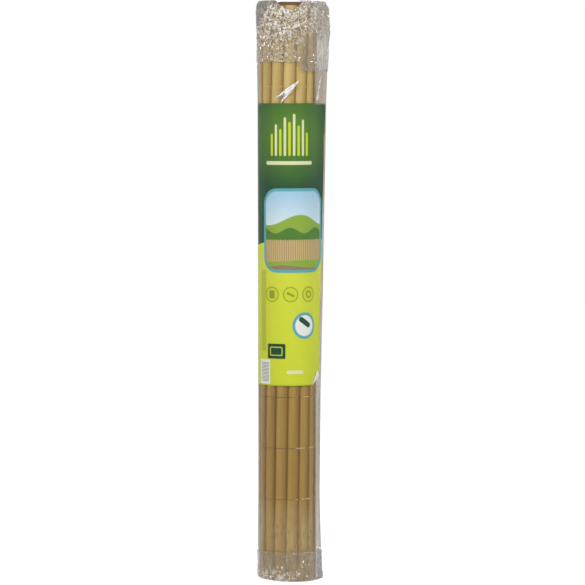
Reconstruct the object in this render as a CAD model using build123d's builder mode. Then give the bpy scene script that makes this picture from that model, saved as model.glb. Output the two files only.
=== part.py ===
from build123d import *
import os
from math import acos, asin, cos, degrees, pi, radians, sin, sqrt, tau

# Synthetic reed screen, 1 m high and 3 m long, rolled up and stood on its end.
# The roll is in a clear shrink sleeve, with a printed paper label between the canes and the film.
# Millimetres, +Z up, front towards -Y. The origin is on the roll's axis, on the sleeve's flat underside.

# Canes: half-round plastic shells side by side, ridges of one thin wall
cane_count = 143
cane_length = 1000.0
cane_width = 18.0
cane_gap = 3.0
cane_rise = 2.6
cane_wall = 0.7
strip_thickness = 0.5

# Roll: the mat wound on a spiral, one cane on each chord
core_canes = 4
turn_clearance = 0.25
outer_end_angle = 54.0
hidden_facets = 3

# Binding threads: rows across the canes, laid over the outermost turn
row_count = 11
row_spacing = 89.0
thread_thickness = 0.5
thread_height = 0.9
thread_clearance = 0.05
shoulder_share = 0.8

# Gaps: open slots between the canes of the outermost turn, bridged behind every fourth row of thread
rows_per_bridge = 4
bridge_height = 6.0

# Label: a paper sheet round the front, its lower right corner folded over
label_thickness = 0.3
label_height = 486.0
label_top_margin = 172.4
label_seat_clearance = 0.1
label_left_side = 11
label_right_share = 0.7
fold_width = 14.0
fold_height = 24.0
fold_lean = 2.0

# Sleeve: thin film with a loose fold down its right side, doubled and gathered at both ends
film_thickness = 0.4
film_clearance = 0.5
film_sides = 24
film_headroom = 3.0
film_mouth_radius = 36.0
cuff_top_length = 108.0
cuff_foot_length = 52.0
cuff_step = 0.4
gather_depth = 1.5
gather_top_length = 50.0
gather_foot_length = 6.0
puff_top = 1.5
puff_foot = 0.6
corner_top = 5.0
corner_foot = 0.8
side_fold_top = 17.0
side_fold_cuff = 13.0
side_fold_mouth = 9.0
side_fold_waist = 0.8
side_fold_foot = 5.0
waist_height = 150.0

# Cane section in its own frame: x along the chord, y away from the roll's axis
cane_pitch = cane_width + cane_gap
arch_radius = (cane_width**2 / 4 + cane_rise**2) / (2 * cane_rise)
arch_depth = arch_radius - cane_rise
vault_radius = arch_radius - cane_wall
arch_reach = sqrt(arch_radius**2 - (arch_depth + strip_thickness) ** 2)
vault_reach = sqrt(vault_radius**2 - arch_depth**2)

# Spiral: a turn stands off the last one by the arch, less what a chord's ends rise above its middle
core_radius = cane_pitch / (2 * sin(pi / core_canes))
loose_radius = sqrt(core_radius**2 + cane_count * cane_pitch * (cane_rise + turn_clearance) / pi)
nesting = loose_radius - sqrt(loose_radius**2 - vault_reach**2)
turn_pitch = cane_rise + turn_clearance - nesting


def spiral_radius(angle):
    return core_radius + turn_pitch * angle / tau


def next_hinge(angle):
    """The spiral's angle one cane pitch further on, measured along the chord."""
    step = cane_pitch / spiral_radius(angle)
    for _ in range(12):
        near, far = spiral_radius(angle), spiral_radius(angle + step)
        step = 2 * asin(sqrt((cane_pitch**2 - (far - near) ** 2) / (4 * near * far)))
    return angle + step


def polar(radius, angle):
    return Vector(radius * cos(angle), radius * sin(angle))


hinge_angles = [0.0]
for _ in range(cane_count):
    hinge_angles.append(next_hinge(hinge_angles[-1]))
end_angle = hinge_angles[-1]
roll_turn = radians(outer_end_angle) - end_angle
hinges = [polar(spiral_radius(angle), angle + roll_turn) for angle in hinge_angles]
outer_canes = [cane for cane in range(cane_count) if hinge_angles[cane] > end_angle - tau]


def on_cane(cane, radius, turn):
    """A point at a radius from the centre of a cane's arch, turned from its crown."""
    start, end = hinges[cane], hinges[cane + 1]
    along = (end - start).normalized()
    outward = Vector(along.Y, -along.X)
    return (start + end) * 0.5 + along * radius * sin(turn) + outward * (radius * cos(turn) - arch_depth)


def arch_points(cane, radius, reach, facets):
    half_turn = asin(reach / radius)
    return [on_cane(cane, radius, half_turn * (2 * step / facets - 1)) for step in range(facets + 1)]


def arch_edge(cane, radius, reach):
    """One face of a cane: an arc on the outermost turn, a few chords of that arc on the turns below it."""
    if cane in outer_canes:
        return ThreePointArc(*arch_points(cane, radius, reach, 2))
    return Polyline(*arch_points(cane, radius, reach, hidden_facets))


# Heights
mat_foot = film_thickness
mat_top = mat_foot + cane_length
sleeve_top = mat_top + film_headroom + film_thickness
row_margin = (cane_length - (row_count - 1) * row_spacing) / 2
row_heights = [mat_foot + row_margin + row * row_spacing for row in range(row_count)]
label_top = mat_top - label_top_margin
label_foot = label_top - label_height

# Thread over one cane: it touches the arch halfway from the crown to each shoulder
shoulder = shoulder_share * asin(arch_reach / arch_radius)
thread_inside = (arch_radius + thread_clearance) / cos(shoulder / 2)
thread_outside = (arch_radius + thread_clearance + thread_thickness) / cos(shoulder / 2)
outer_chord = sqrt(spiral_radius(end_angle) ** 2 - (cane_pitch / 2) ** 2)
thread_reach = outer_chord + thread_outside - arch_depth

# Sleeve levels: height, puff of the film, depth of its gathers, reach of its side fold
sleeve_bore = thread_reach + label_seat_clearance + label_thickness + film_clearance
sleeve_radius = (sleeve_bore + film_thickness) / cos(pi / film_sides)
cuff_foot = mat_foot + cuff_foot_length
cuff_top = mat_top - cuff_top_length
film_levels = [
    (0, -corner_foot, 0, side_fold_foot),
    (gather_foot_length, puff_foot, gather_depth, side_fold_foot),
    (cuff_foot + cuff_step, 0, 0, side_fold_waist),
    (waist_height, 0, 0, side_fold_waist),
    (cuff_top - cuff_step, 0, 0, side_fold_cuff),
    (cuff_top + gather_top_length, puff_top, gather_depth, side_fold_top),
    (mat_top, puff_top, gather_depth, side_fold_mouth),
    (sleeve_top, -corner_top, 0, side_fold_mouth),
]
cuff_edges = [
    (cuff_foot, cuff_step, 0, side_fold_waist),
    (cuff_top, cuff_step, 0, side_fold_cuff),
]


def film_corner(level, side, inset):
    """A corner of the film's section. The side fold's walls run straight from the round to its tip."""
    _, puff, gather, side_fold = level
    radius = sleeve_radius + puff
    leave = acos(radius / (radius + side_fold))
    turn = side % film_sides * tau / film_sides
    off_tip = min(turn, tau - turn)
    if off_tip < leave:
        return polar(radius / cos(leave - off_tip) - inset, turn)
    return polar(radius + gather * (side % 2) - inset, turn)


def film_corner_at(height, side, inset):
    """The same corner at a height between two levels."""
    for low, high in zip(film_levels, film_levels[1:]):
        if low[0] <= height <= high[0]:
            share = (height - low[0]) / (high[0] - low[0])
            start, end = film_corner(low, side, inset), film_corner(high, side, inset)
            return start + (end - start) * share


def film_section(level, inset):
    return [film_corner(level, side, inset) for side in range(film_sides)]


def label_line(height, inset):
    """The line of one face of the label across the roll, from its left edge to its right edge."""
    corners = [film_corner_at(height, side, inset) for side in range(label_left_side, film_sides)]
    tip = film_corner_at(height, film_sides, inset)
    return corners + [corners[-1] + (tip - corners[-1]) * label_right_share]


def label_section(height, inset):
    return label_line(height, inset) + label_line(height, inset + label_thickness)[::-1]


# The label bends with the film wherever a level of the film lies between its edges
levels_behind_label = [level[0] for level in film_levels if label_foot < level[0] < label_top]
label_heights = [label_foot, *levels_behind_label, label_top]


# Reed mat: the wall of arched canes and flat strips, wound up, with open gaps in its outermost turn
outline = []
for cane in range(cane_count):
    arch = arch_edge(cane, arch_radius, arch_reach)
    vault = arch_edge(cane, vault_radius, vault_reach)
    outline += [arch, vault]
    if cane == 0:
        outline.append(Line(vault @ 0, arch @ 0))
    else:
        outline.append(Line(last_arch @ 1, arch @ 0))
        outline.append(Line(last_vault @ 1, vault @ 0))
    last_arch, last_vault = arch, vault
outline.append(Line(last_vault @ 1, last_arch @ 1))

bridges = row_heights[rows_per_bridge - 1 :: rows_per_bridge]
gap_starts = [mat_foot] + [height + bridge_height / 2 for height in bridges]
gap_ends = [height - bridge_height / 2 for height in bridges] + [mat_top]

with BuildPart() as reed_mat:
    with BuildSketch(Plane.XY.offset(mat_foot)):
        with BuildLine():
            add(outline)
        make_face()
    extrude(amount=cane_length)
    for gap_start, gap_end in zip(gap_starts, gap_ends):
        with BuildSketch(Plane.XY.offset(gap_start)):
            for cane in outer_canes[1:]:
                left_foot = arch_points(cane - 1, vault_radius, vault_reach, 2)[-1]
                right_foot = arch_points(cane, vault_radius, vault_reach, 2)[0]
                strip_middle = (left_foot + right_foot) * 0.5
                outward = strip_middle.normalized()
                gap_angle = degrees(hinge_angles[cane] + roll_turn)
                gap_middle = strip_middle + outward * (cane_rise - turn_clearance) / 2
                with Locations(Location(gap_middle, gap_angle)):
                    Rectangle(cane_rise + turn_clearance, cane_gap)
        extrude(amount=gap_end - gap_start, mode=Mode.SUBTRACT)
reed_mat.part.label = "reed_mat"

os.makedirs("parts", exist_ok=True)
export_step(reed_mat.part, "parts/reed_mat.step")

# Binding threads, from the lowest row up
shoulder_turns = (-shoulder, 0, shoulder)
thread_inner_line = [on_cane(cane, thread_inside, turn) for cane in outer_canes for turn in shoulder_turns]
thread_outer_line = [on_cane(cane, thread_outside, turn) for cane in outer_canes for turn in shoulder_turns]

for row, height in enumerate(row_heights, 1):
    with BuildPart() as binding_thread:
        with BuildSketch(Plane.XY.offset(height - thread_height / 2)):
            with BuildLine():
                Polyline(*thread_inner_line, *thread_outer_line[::-1], close=True)
            make_face()
        extrude(amount=thread_height)
    binding_thread.part.label = f"binding_thread_{row:02d}"
    export_step(binding_thread.part, f"parts/binding_thread_{row:02d}.step")

# Film sleeve: closed flat at its foot, drawn in to an open mouth at its top
with BuildPart() as film_sleeve:
    for level in sorted(film_levels + cuff_edges):
        with BuildSketch(Plane.XY.offset(level[0])):
            with BuildLine():
                Polyline(*film_section(level, 0), close=True)
            make_face()
    loft(ruled=True)
    for level in film_levels:
        inside_height = min(max(level[0], film_thickness), sleeve_top - film_thickness)
        with BuildSketch(Plane.XY.offset(inside_height)):
            with BuildLine():
                Polyline(*film_section(level, film_thickness), close=True)
            make_face()
    loft(ruled=True, mode=Mode.SUBTRACT)
    with BuildSketch(Plane.XY.offset(mat_top)):
        Circle(film_mouth_radius)
    extrude(amount=sleeve_top - mat_top, mode=Mode.SUBTRACT)
film_sleeve.part.label = "film_sleeve"
export_step(film_sleeve.part, "parts/film_sleeve.step")

# Label's corner, folded over along a slanted crease and lying on the label's face
label_inset = film_thickness + film_clearance
label_right = label_line(label_foot, label_inset)[-1].X
crease_foot = (label_right - fold_width, label_foot)
crease_top = (label_right, label_foot + fold_height)
fold_point = (label_right - fold_width + fold_lean, label_foot + fold_height)
beyond_foot = (label_right + fold_width, label_foot)
beyond_top = (label_right + fold_width, label_foot + 2 * fold_height)

with BuildPart() as label_fold:
    for height in label_heights:
        with BuildSketch(Plane.XY.offset(height)):
            with BuildLine():
                Polyline(*label_section(height, label_inset - label_thickness), close=True)
            make_face()
    loft(ruled=True)
    with BuildSketch(Plane.XZ):
        with BuildLine():
            Polyline(crease_foot, crease_top, fold_point, close=True)
        make_face()
    extrude(amount=sleeve_radius, mode=Mode.INTERSECT)

# Paper label
with BuildPart() as paper_label:
    for height in label_heights:
        with BuildSketch(Plane.XY.offset(height)):
            with BuildLine():
                Polyline(*label_section(height, label_inset), close=True)
            make_face()
    loft(ruled=True)
    with BuildSketch(Plane.XZ):
        with BuildLine():
            Polyline(crease_foot, beyond_foot, beyond_top, close=True)
        make_face()
    extrude(amount=sleeve_radius, mode=Mode.SUBTRACT)
    add(label_fold.part)
paper_label.part.label = "paper_label"
export_step(paper_label.part, "parts/paper_label.step")
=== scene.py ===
import math
import random

import bpy
import numpy as np
from bpy.props import FloatProperty, FloatVectorProperty, IntProperty, PointerProperty
from mathutils import Matrix, Vector


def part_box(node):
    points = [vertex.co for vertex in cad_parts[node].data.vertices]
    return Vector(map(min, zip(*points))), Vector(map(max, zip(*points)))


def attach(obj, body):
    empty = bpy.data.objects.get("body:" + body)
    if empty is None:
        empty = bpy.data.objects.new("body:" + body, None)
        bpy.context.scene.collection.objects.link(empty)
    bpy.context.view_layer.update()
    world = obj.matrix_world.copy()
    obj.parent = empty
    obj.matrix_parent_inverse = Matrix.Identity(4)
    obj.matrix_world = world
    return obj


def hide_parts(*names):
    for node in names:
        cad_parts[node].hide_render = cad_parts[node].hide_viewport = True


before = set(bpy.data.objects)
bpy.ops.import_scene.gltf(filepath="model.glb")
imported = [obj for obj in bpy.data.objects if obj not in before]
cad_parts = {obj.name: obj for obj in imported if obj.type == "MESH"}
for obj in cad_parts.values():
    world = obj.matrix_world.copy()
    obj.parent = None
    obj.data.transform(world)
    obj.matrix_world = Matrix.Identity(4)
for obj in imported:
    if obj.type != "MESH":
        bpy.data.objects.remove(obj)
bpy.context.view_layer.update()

# Dresses a packed roll of reed screen: half-round canes, binding threads, a printed label and
# clear film. Metres, in the frame of the solids: +Z up along the roll, front towards -Y, the
# film's fold towards +X.

bl_info = {
    "name": "Rolled reed screen",
    "version": (1, 0, 0),
    "blender": (4, 5, 0),
    "location": "View3D > Sidebar > Reed screen",
    "description": "Canes, threads, label and film of a packed reed screen, with its studio",
    "category": "Object",
}

MAT_LOW, MAT_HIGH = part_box("reed_mat")
LABEL_LOW, LABEL_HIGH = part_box("paper_label")
THREAD_NODES = sorted(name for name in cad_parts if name.startswith("binding_thread"))

TURN = 2 * math.pi
FRONT = 1.5 * math.pi
MIDDLE_GREY = (0.5, 0.5, 0.5)
WHITE = (1, 1, 1, 1)

# The film's outline from its foot up: height, radius of its round, reach of its fold's tip
FILM_LEVELS = (
    (0.000, 0.0532, 0.0592),
    (0.004, 0.0538, 0.0597),
    (0.050, 0.0534, 0.0570),
    (0.150, 0.0527, 0.0544),
    (0.330, 0.0525, 0.0563),
    (0.500, 0.0524, 0.0596),
    (0.830, 0.0531, 0.0654),
    (0.885, 0.0538, 0.0673),
    (0.955, 0.0547, 0.0718),
    (0.990, 0.0554, 0.0700),
    (1.004, 0.0545, 0.0640),
)


def length(name, description, default):
    return FloatProperty(
        name=name, description=description, default=default, unit="LENGTH", precision=5
    )


def angle(name, description, degrees):
    return FloatProperty(
        name=name, description=description, default=math.radians(degrees), subtype="ANGLE"
    )


def share(name, description, default):
    return FloatProperty(
        name=name, description=description, default=default, subtype="FACTOR", min=0, max=1
    )


def colour(name, description, default):
    return FloatVectorProperty(
        name=name, description=description, default=default, size=3, min=0, max=1, subtype="COLOR"
    )


class CaneSettings(bpy.types.PropertyGroup):
    """The half-round canes and the way that they are wound."""

    count: IntProperty(name="Canes", description="Canes in the whole mat", default=143, min=20)
    width: length("Width", "Width of a cane across its flat side", 0.0205)
    gap: length("Gap", "Gap between two canes", 0.0005)
    rise: length("Rise", "Height of a cane's arch", 0.0026)
    wall: length("Wall", "Thickness of a cane's wall", 0.0007)
    clearance: length("Clearance", "Room between two turns of the roll", 0.000322)
    core: IntProperty(
        name="Core canes", description="Canes in the innermost turn", default=4, min=3
    )
    shoulder: FloatProperty(
        name="Shoulder",
        description="Power of a cane's section: 1 is a half ellipse, more is slimmer",
        default=1.15,
    )
    end_angle: angle("End angle", "Where the outermost cane ends, seen from above", 56.9)
    lean: angle("Lean", "Turn of the canes from the roll's foot to its top", 25.0)
    swell: share("Swell", "How much wider the roll is at its top", 0.037)
    shift: length("Shift", "How far the roll lies left of the sleeve's axis", 0.0020)
    foot_slant: length("Foot slant", "How much higher the roll's foot is at its left side", 0.0040)
    light: colour("Light tan", "Colour of the canes' crowns", (0.64, 0.475, 0.175))
    dark: colour("Dark tan", "Colour of the darker canes and streaks", (0.47, 0.325, 0.10))
    # Painted shade along the canes' edges, and also the colour of the scuffs near the foot
    shade_and_scuffs: colour("Groove", "Colour along the canes' edges", (0.25, 0.145, 0.032))
    # Painted shade: multiplies the colours towards the roll's foot
    foot_shade_tone: colour("Lower tone", "Multiplies the colours at the roll's foot", (0.66, 0.56, 0.42))
    # Painted shade: the dark band round the canes' upper ends
    top_end_shade: colour("Cut end", "Colour of the canes round their upper ends", (0.13, 0.085, 0.04))
    end_face: colour("End face", "Colour of the canes' sawn upper faces", (0.56, 0.42, 0.18))
    bloom: colour("Bloom", "Pale bloom on the canes near the roll's foot", (0.60, 0.48, 0.25))


class ThreadSettings(bpy.types.PropertyGroup):
    """The rows of thread that bind the canes."""

    thickness: length("Thickness", "Thickness of the thread", 0.0010)
    bite: length("Bite", "How deep the thread bites into a cane", 0.0003)
    # Painted highlight: the glints on the thread's lower rows
    light: colour("Light thread", "Colour of the thread where it is clean", (0.80, 0.68, 0.38))
    # Darker thread of the lower rows, partly painted shade
    dark: colour("Dark thread", "Colour of the thread where it is stained", (0.12, 0.07, 0.02))


class LabelSettings(bpy.types.PropertyGroup):
    """The printed sheet between the canes and the film."""

    inset: length("Inset", "Room between the sheet and the film round it", 0.00045)
    width: length("Width", "Width of the flat sheet", 0.178)
    thickness: length("Thickness", "Thickness of the paper", 0.00025)
    top_share: share("Upper edge", "How far the sheet's top reaches along the film's fold", 0.97)
    foot_share: share("Lower edge", "How far the sheet's foot reaches along the film's fold", 0.64)
    fold_width: length("Fold width", "Width of the corner that is folded over", 0.0283)
    fold_height: length("Fold height", "Height of the corner that is folded over", 0.0160)
    deep_green: colour("Deep green", "Upper field of the print", (0.008, 0.062, 0.028))
    leaf_green: colour("Leaf green", "Glow in the upper field", (0.115, 0.268, 0.020))
    lime: colour("Lime", "Lower field of the print", (0.61, 0.68, 0.028))
    teal: colour("Teal", "Rims of the print", (0.105, 0.40, 0.45))
    olive: colour("Olive", "Fine lines of the print", (0.29, 0.33, 0.03))


class FilmSettings(bpy.types.PropertyGroup):
    """The clear sleeve and its two crumpled ends."""

    thickness: length("Thickness", "Thickness of the film", 0.00015)
    cuff_foot: length("Lower cuff", "Height of the lower crumpled end", 0.050)
    cuff_top: length("Upper cuff", "Where the upper crumpled end begins", 0.8985)
    cuff_step: length("Cuff step", "How much lower the upper cuff is on its right side", 0.0157)
    overlap: length("Overlap", "How far the sleeve runs on under each cuff", 0.006)
    stand_off: length("Stand-off", "Room between the sleeve and a cuff", 0.0012)
    crumple: length("Crumple", "Height of the larger creases", 0.0030)
    crease: length("Crease", "Height of the finer creases", 0.0014)
    # Painted glints: size of the cells that are painted bright
    shard: length("Shard", "Size of the small bright facets of the crumpled film", 0.0022)
    tint: colour("Tint", "Colour of the hazy film", (0.62, 0.525, 0.385))
    cuff_tint: colour("Cuff tint", "Colour of the crumpled film", (0.54, 0.44, 0.305))
    # Painted shade: the grey laid on film that lies edge on and on film in several layers
    film_shade: colour("Smoke", "Colour of film edge on or in several layers", (0.243, 0.230, 0.222))
    # Painted highlight: colour of the glints painted on the small facets
    glint: colour("Glint", "Colour of the film's small bright facets", (0.94, 0.85, 0.73))
    # Painted highlight: white of the larger painted glints and of the glare on the slack creases
    white: colour("White", "Colour of the film's sharp creases", (0.93, 0.92, 0.90))


class StageSettings(bpy.types.PropertyGroup):
    """Camera, floor and lights."""

    eye_height: length("Eye height", "Height of the camera", 0.83)
    distance: length("Distance", "Distance from the camera to the roll", 4.8)
    aim_side: length("Aim to the side", "How far the view's middle is right of the axis", 0.0071)
    aim_height: length("Aim height", "Height of the view's middle", 0.5002)
    frame_width: length("Frame width", "Width of the view at the roll", 1.0160)
    floor: colour("Floor", "Colour of the floor", (0.74, 0.74, 0.74))


def deselect_all():
    bpy.ops.object.select_all(action="DESELECT")


def select_only(obj):
    deselect_all()
    obj.select_set(True)
    bpy.context.view_layer.objects.active = obj


def edit_all(obj):
    """Opens a mesh for editing with all of it selected."""
    select_only(obj)
    bpy.ops.object.mode_set(mode="EDIT")
    bpy.ops.mesh.select_all(action="SELECT")


def end_edit():
    bpy.ops.object.mode_set(mode="OBJECT")


def points_of(mesh):
    flat = np.empty(len(mesh.vertices) * 3)
    mesh.vertices.foreach_get("co", flat)
    return flat.reshape(-1, 3)


def move_points(mesh, points):
    mesh.vertices.foreach_set("co", np.asarray(points, dtype=np.float32).ravel())
    mesh.update()


def store(mesh, name, values):
    """Keeps a number or a vector for each point of a mesh, for its material to read."""
    values = np.asarray(values, dtype=np.float32)
    if values.ndim == 1:
        mesh.attributes.new(name, "FLOAT", "POINT").data.foreach_set("value", values)
    else:
        kept = mesh.attributes.new(name, "FLOAT_VECTOR", "POINT")
        kept.data.foreach_set("vector", values.ravel())


def new_grid(columns, rows):
    """A flat grid of unit size, and its points."""
    deselect_all()
    bpy.ops.mesh.primitive_grid_add(x_subdivisions=columns, y_subdivisions=rows, size=1)
    grid = bpy.context.object
    return grid, points_of(grid.data)


def apply_modifier(obj, kind, name, **settings):
    select_only(obj)
    modifier = obj.modifiers.new(name, kind)
    for key, value in settings.items():
        setattr(modifier, key, value)
    bpy.ops.object.modifier_apply(modifier=modifier.name)


def tidy_mesh(obj):
    """Merges what coincides and points every face outwards."""
    edit_all(obj)
    bpy.ops.mesh.remove_doubles(threshold=1e-6)
    bpy.ops.mesh.normals_make_consistent(inside=False)
    end_edit()


def smooth(obj, degrees):
    """Shades a piece smooth, except over edges that are sharper than an angle."""
    select_only(obj)
    bpy.ops.object.shade_smooth_by_angle(angle=math.radians(degrees))


def finish_piece(obj, name, materials, nodes=()):
    """Names a piece, gives it its materials, and ties it to the solids that it stands for."""
    obj.name = name
    obj.data.name = name
    for material in materials:
        obj.data.materials.append(material)
    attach(obj, "root")
    if nodes:
        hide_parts(*nodes)


def new_material(name):
    """An empty material, and its node tree."""
    material = bpy.data.materials.new(name)
    material.use_nodes = True
    material.node_tree.nodes.clear()
    return material, material.node_tree


def node(tree, kind, inputs=None, **settings):
    """Adds a node with its settings; an input is a value or another node's output."""
    made = tree.nodes.new(kind)
    for key, value in settings.items():
        setattr(made, key, value)
    for socket, value in (inputs or {}).items():
        if isinstance(value, bpy.types.NodeSocket):
            tree.links.new(value, made.inputs[socket])
        else:
            made.inputs[socket].default_value = value
    return made


def calc(tree, operation, first, second=0.0, clamp=False):
    inputs = {0: first, 1: second}
    return node(tree, "ShaderNodeMath", inputs, operation=operation, use_clamp=clamp).outputs[0]


def product(tree, first, second):
    return calc(tree, "MULTIPLY", first, second)


def total(tree, first, second, clamp=False):
    return calc(tree, "ADD", first, second, clamp)


def vector_calc(tree, operation, *values):
    """Reckons with vectors, and gives a vector or, for some operations, a number."""
    made = node(tree, "ShaderNodeVectorMath", dict(enumerate(values)), operation=operation)
    gives_number = operation in ("DISTANCE", "DOT_PRODUCT", "LENGTH")
    return made.outputs["Value" if gives_number else "Vector"]


def blend_colours(tree, factor, first, second, kind="MIX"):
    made = node(tree, "ShaderNodeMix", data_type="RGBA", blend_type=kind)
    for socket, value in ((0, factor), (6, first), (7, second)):
        if isinstance(value, bpy.types.NodeSocket):
            tree.links.new(value, made.inputs[socket])
        elif socket:
            made.inputs[socket].default_value = (*value, 1)
        else:
            made.inputs[socket].default_value = value
    return made.outputs[2]


def blend_shaders(tree, factor, first, second):
    inputs = {0: factor, 1: first.outputs[0], 2: second.outputs[0]}
    return node(tree, "ShaderNodeMixShader", inputs)


def remap(tree, value, low, high, to_low=0.0, to_high=1.0):
    inputs = {0: value, 1: low, 2: high, 3: to_low, 4: to_high}
    return node(tree, "ShaderNodeMapRange", inputs, clamp=True).outputs[0]


def stretched(tree, vector, scale):
    return node(tree, "ShaderNodeMapping", {"Vector": vector, "Scale": scale}).outputs[0]


def noise(tree, vector, scale, detail, roughness=0.55):
    """Noise of one scale or, where three are given, of one along each axis."""
    if isinstance(scale, tuple):
        vector, scale = stretched(tree, vector, scale), 1.0
    inputs = {"Vector": vector, "Scale": scale, "Detail": detail, "Roughness": roughness}
    return node(tree, "ShaderNodeTexNoise", inputs).outputs["Fac"]


def bump(tree, height, strength, distance, normal=None):
    inputs = {"Height": height, "Strength": strength, "Distance": distance}
    if normal is not None:
        inputs["Normal"] = normal
    return node(tree, "ShaderNodeBump", inputs).outputs[0]


def split(tree, vector):
    return node(tree, "ShaderNodeSeparateXYZ", {0: vector}).outputs


def attribute(tree, name, kind="Fac"):
    made = node(tree, "ShaderNodeAttribute", attribute_name=name, attribute_type="GEOMETRY")
    return made.outputs[kind]


def object_place(tree):
    return node(tree, "ShaderNodeTexCoord").outputs["Object"]


def principled(tree, base, rough, normal, specular=0.5):
    inputs = {"Base Color": base, "Roughness": rough, "Normal": normal}
    inputs["Specular IOR Level"] = specular
    return node(tree, "ShaderNodeBsdfPrincipled", inputs)


def output(tree, shader, kind="Material"):
    node(tree, f"ShaderNodeOutput{kind}", {"Surface": shader.outputs[0]})


def cane_material(canes):
    """Moulded tan plastic: streaks along each cane and a tint of its own, with a painted highlight
    on one side and painted shade, browner, towards the other side and at its edges.
    """
    material, tree = new_material("cane plastic")
    place = attribute(tree, "cane_place", "Vector")
    tint = attribute(tree, "cane_tint")
    across, _, up = split(tree, place)
    fine = noise(tree, place, (1900, 40, 7), 4)
    broad = noise(tree, place, (120, 37, 9), 3)
    streak = total(tree, product(tree, fine, 0.55), product(tree, broad, 0.45))

    # From one edge, -1, to the other: a painted highlight on one side and painted shade on the
    # other
    side = calc(tree, "DIVIDE", across, -canes.width / 2)
    off_side_highlight = calc(tree, "ABSOLUTE", total(tree, side, 0.4))
    side_highlight = remap(tree, off_side_highlight, 0.5, 0.0, 0.0, 0.35)
    tint_and_highlight = total(tree, remap(tree, tint, 0.0, 1.0, 0.1, 0.4), side_highlight)
    tone = total(tree, remap(tree, streak, 0.36, 0.64), tint_and_highlight)
    body = blend_colours(tree, remap(tree, tone, 0.1, 1.3), canes.dark, canes.light)
    side_shade = product(tree, calc(tree, "POWER", remap(tree, side, -0.1, 1.0), 1.5), 0.95)
    shaded = blend_colours(tree, side_shade, body, canes.shade_and_scuffs)
    # Painted shade at the edge on the highlight's side as well, where the canes meet
    edge_shade = remap(tree, side, -0.90, -1.0, 0.0, 0.4)
    edge_shaded = blend_colours(tree, edge_shade, shaded, canes.shade_and_scuffs)

    # Painted shade, darker down the roll, with a bloom and scuffs near its foot
    shade_down_roll = blend_colours(tree, remap(tree, up, 0.30, 0.85), canes.foot_shade_tone, (1, 1, 1))
    toned = blend_colours(tree, 1.0, edge_shaded, shade_down_roll, "MULTIPLY")
    near_foot = remap(tree, up, 0.150, 0.090)
    cloud = remap(tree, broad, 0.35, 0.65, 0.15, 0.5)
    bloomed = blend_colours(tree, product(tree, cloud, near_foot), toned, canes.bloom)
    marks = remap(tree, noise(tree, place, (300, 37, 110), 2), 0.56, 0.64, 0.0, 0.6)
    scuffed = blend_colours(tree, product(tree, marks, near_foot), bloomed, canes.shade_and_scuffs)

    # Painted shade round the upper ends, and their sawn faces
    top_shade_share = remap(tree, up, MAT_HIGH.z - 0.0060, MAT_HIGH.z - 0.0046)
    darkened = blend_colours(tree, top_shade_share, scuffed, canes.top_end_shade)
    facing = node(tree, "ShaderNodeNewGeometry").outputs["True Normal"]
    upward = remap(tree, split(tree, facing)[2], 0.7, 0.9)
    base = blend_colours(tree, upward, darkened, canes.end_face)
    rough = remap(tree, streak, 0.3, 0.7, 0.55, 0.38)
    output(tree, principled(tree, base, rough, bump(tree, streak, 0.35, 0.0004), 0.2))
    return material


def thread_material(threads, canes):
    """Twisted thread of the canes' colour, with their painted shade down the roll; rows below the
    label are darker, partly painted shade, with painted glints on their right.
    """
    material, tree = new_material("binding thread")
    place = object_place(tree)
    right, _, up = split(tree, place)
    strands = noise(tree, place, (900, 900, 2600), 2)
    # Painted glints: light spots on the rows' right side
    glint_spots = remap(tree, noise(tree, place, (170, 170, 30), 1), 0.43, 0.48)
    glinting = product(tree, glint_spots, remap(tree, right, 0.008, 0.016))
    dark_and_glinting = blend_colours(tree, glinting, threads.dark, threads.light)
    # The plain thread takes the canes' painted shade, darker down the roll
    foot_shaded_plain = tuple(part * tone for part, tone in zip(canes.light, canes.foot_shade_tone))
    plain = blend_colours(tree, remap(tree, up, 0.30, 0.85), foot_shaded_plain, canes.light)
    # Rows that are darker, partly painted shade
    dark_rows = product(tree, remap(tree, up, 0.07, 0.10), remap(tree, up, 0.45, 0.36))
    base = blend_colours(tree, dark_rows, plain, dark_and_glinting)
    rough = remap(tree, strands, 0.3, 0.7, 0.5, 0.3)
    output(tree, principled(tree, base, rough, bump(tree, strands, 0.5, 0.0002), 0.3))
    return material


def cane_arch(canes):
    """Radius of a cane's arch, and the depth of its centre below the cane's flat side."""
    radius = (canes.width**2 / 4 + canes.rise**2) / (2 * canes.rise)
    return radius, radius - canes.rise


def cane_section(part, canes, inset=0.0):
    """A point of a cane's section: part runs from -1 at one foot over the crown to 1."""
    turn = np.asarray(part) * math.pi / 2
    half, rise = canes.width / 2 - inset, canes.rise - inset
    across = half * np.sign(turn) * np.abs(np.sin(turn)) ** canes.shoulder
    return across, rise * np.clip(np.cos(turn), 0, 1) ** canes.shoulder


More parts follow.
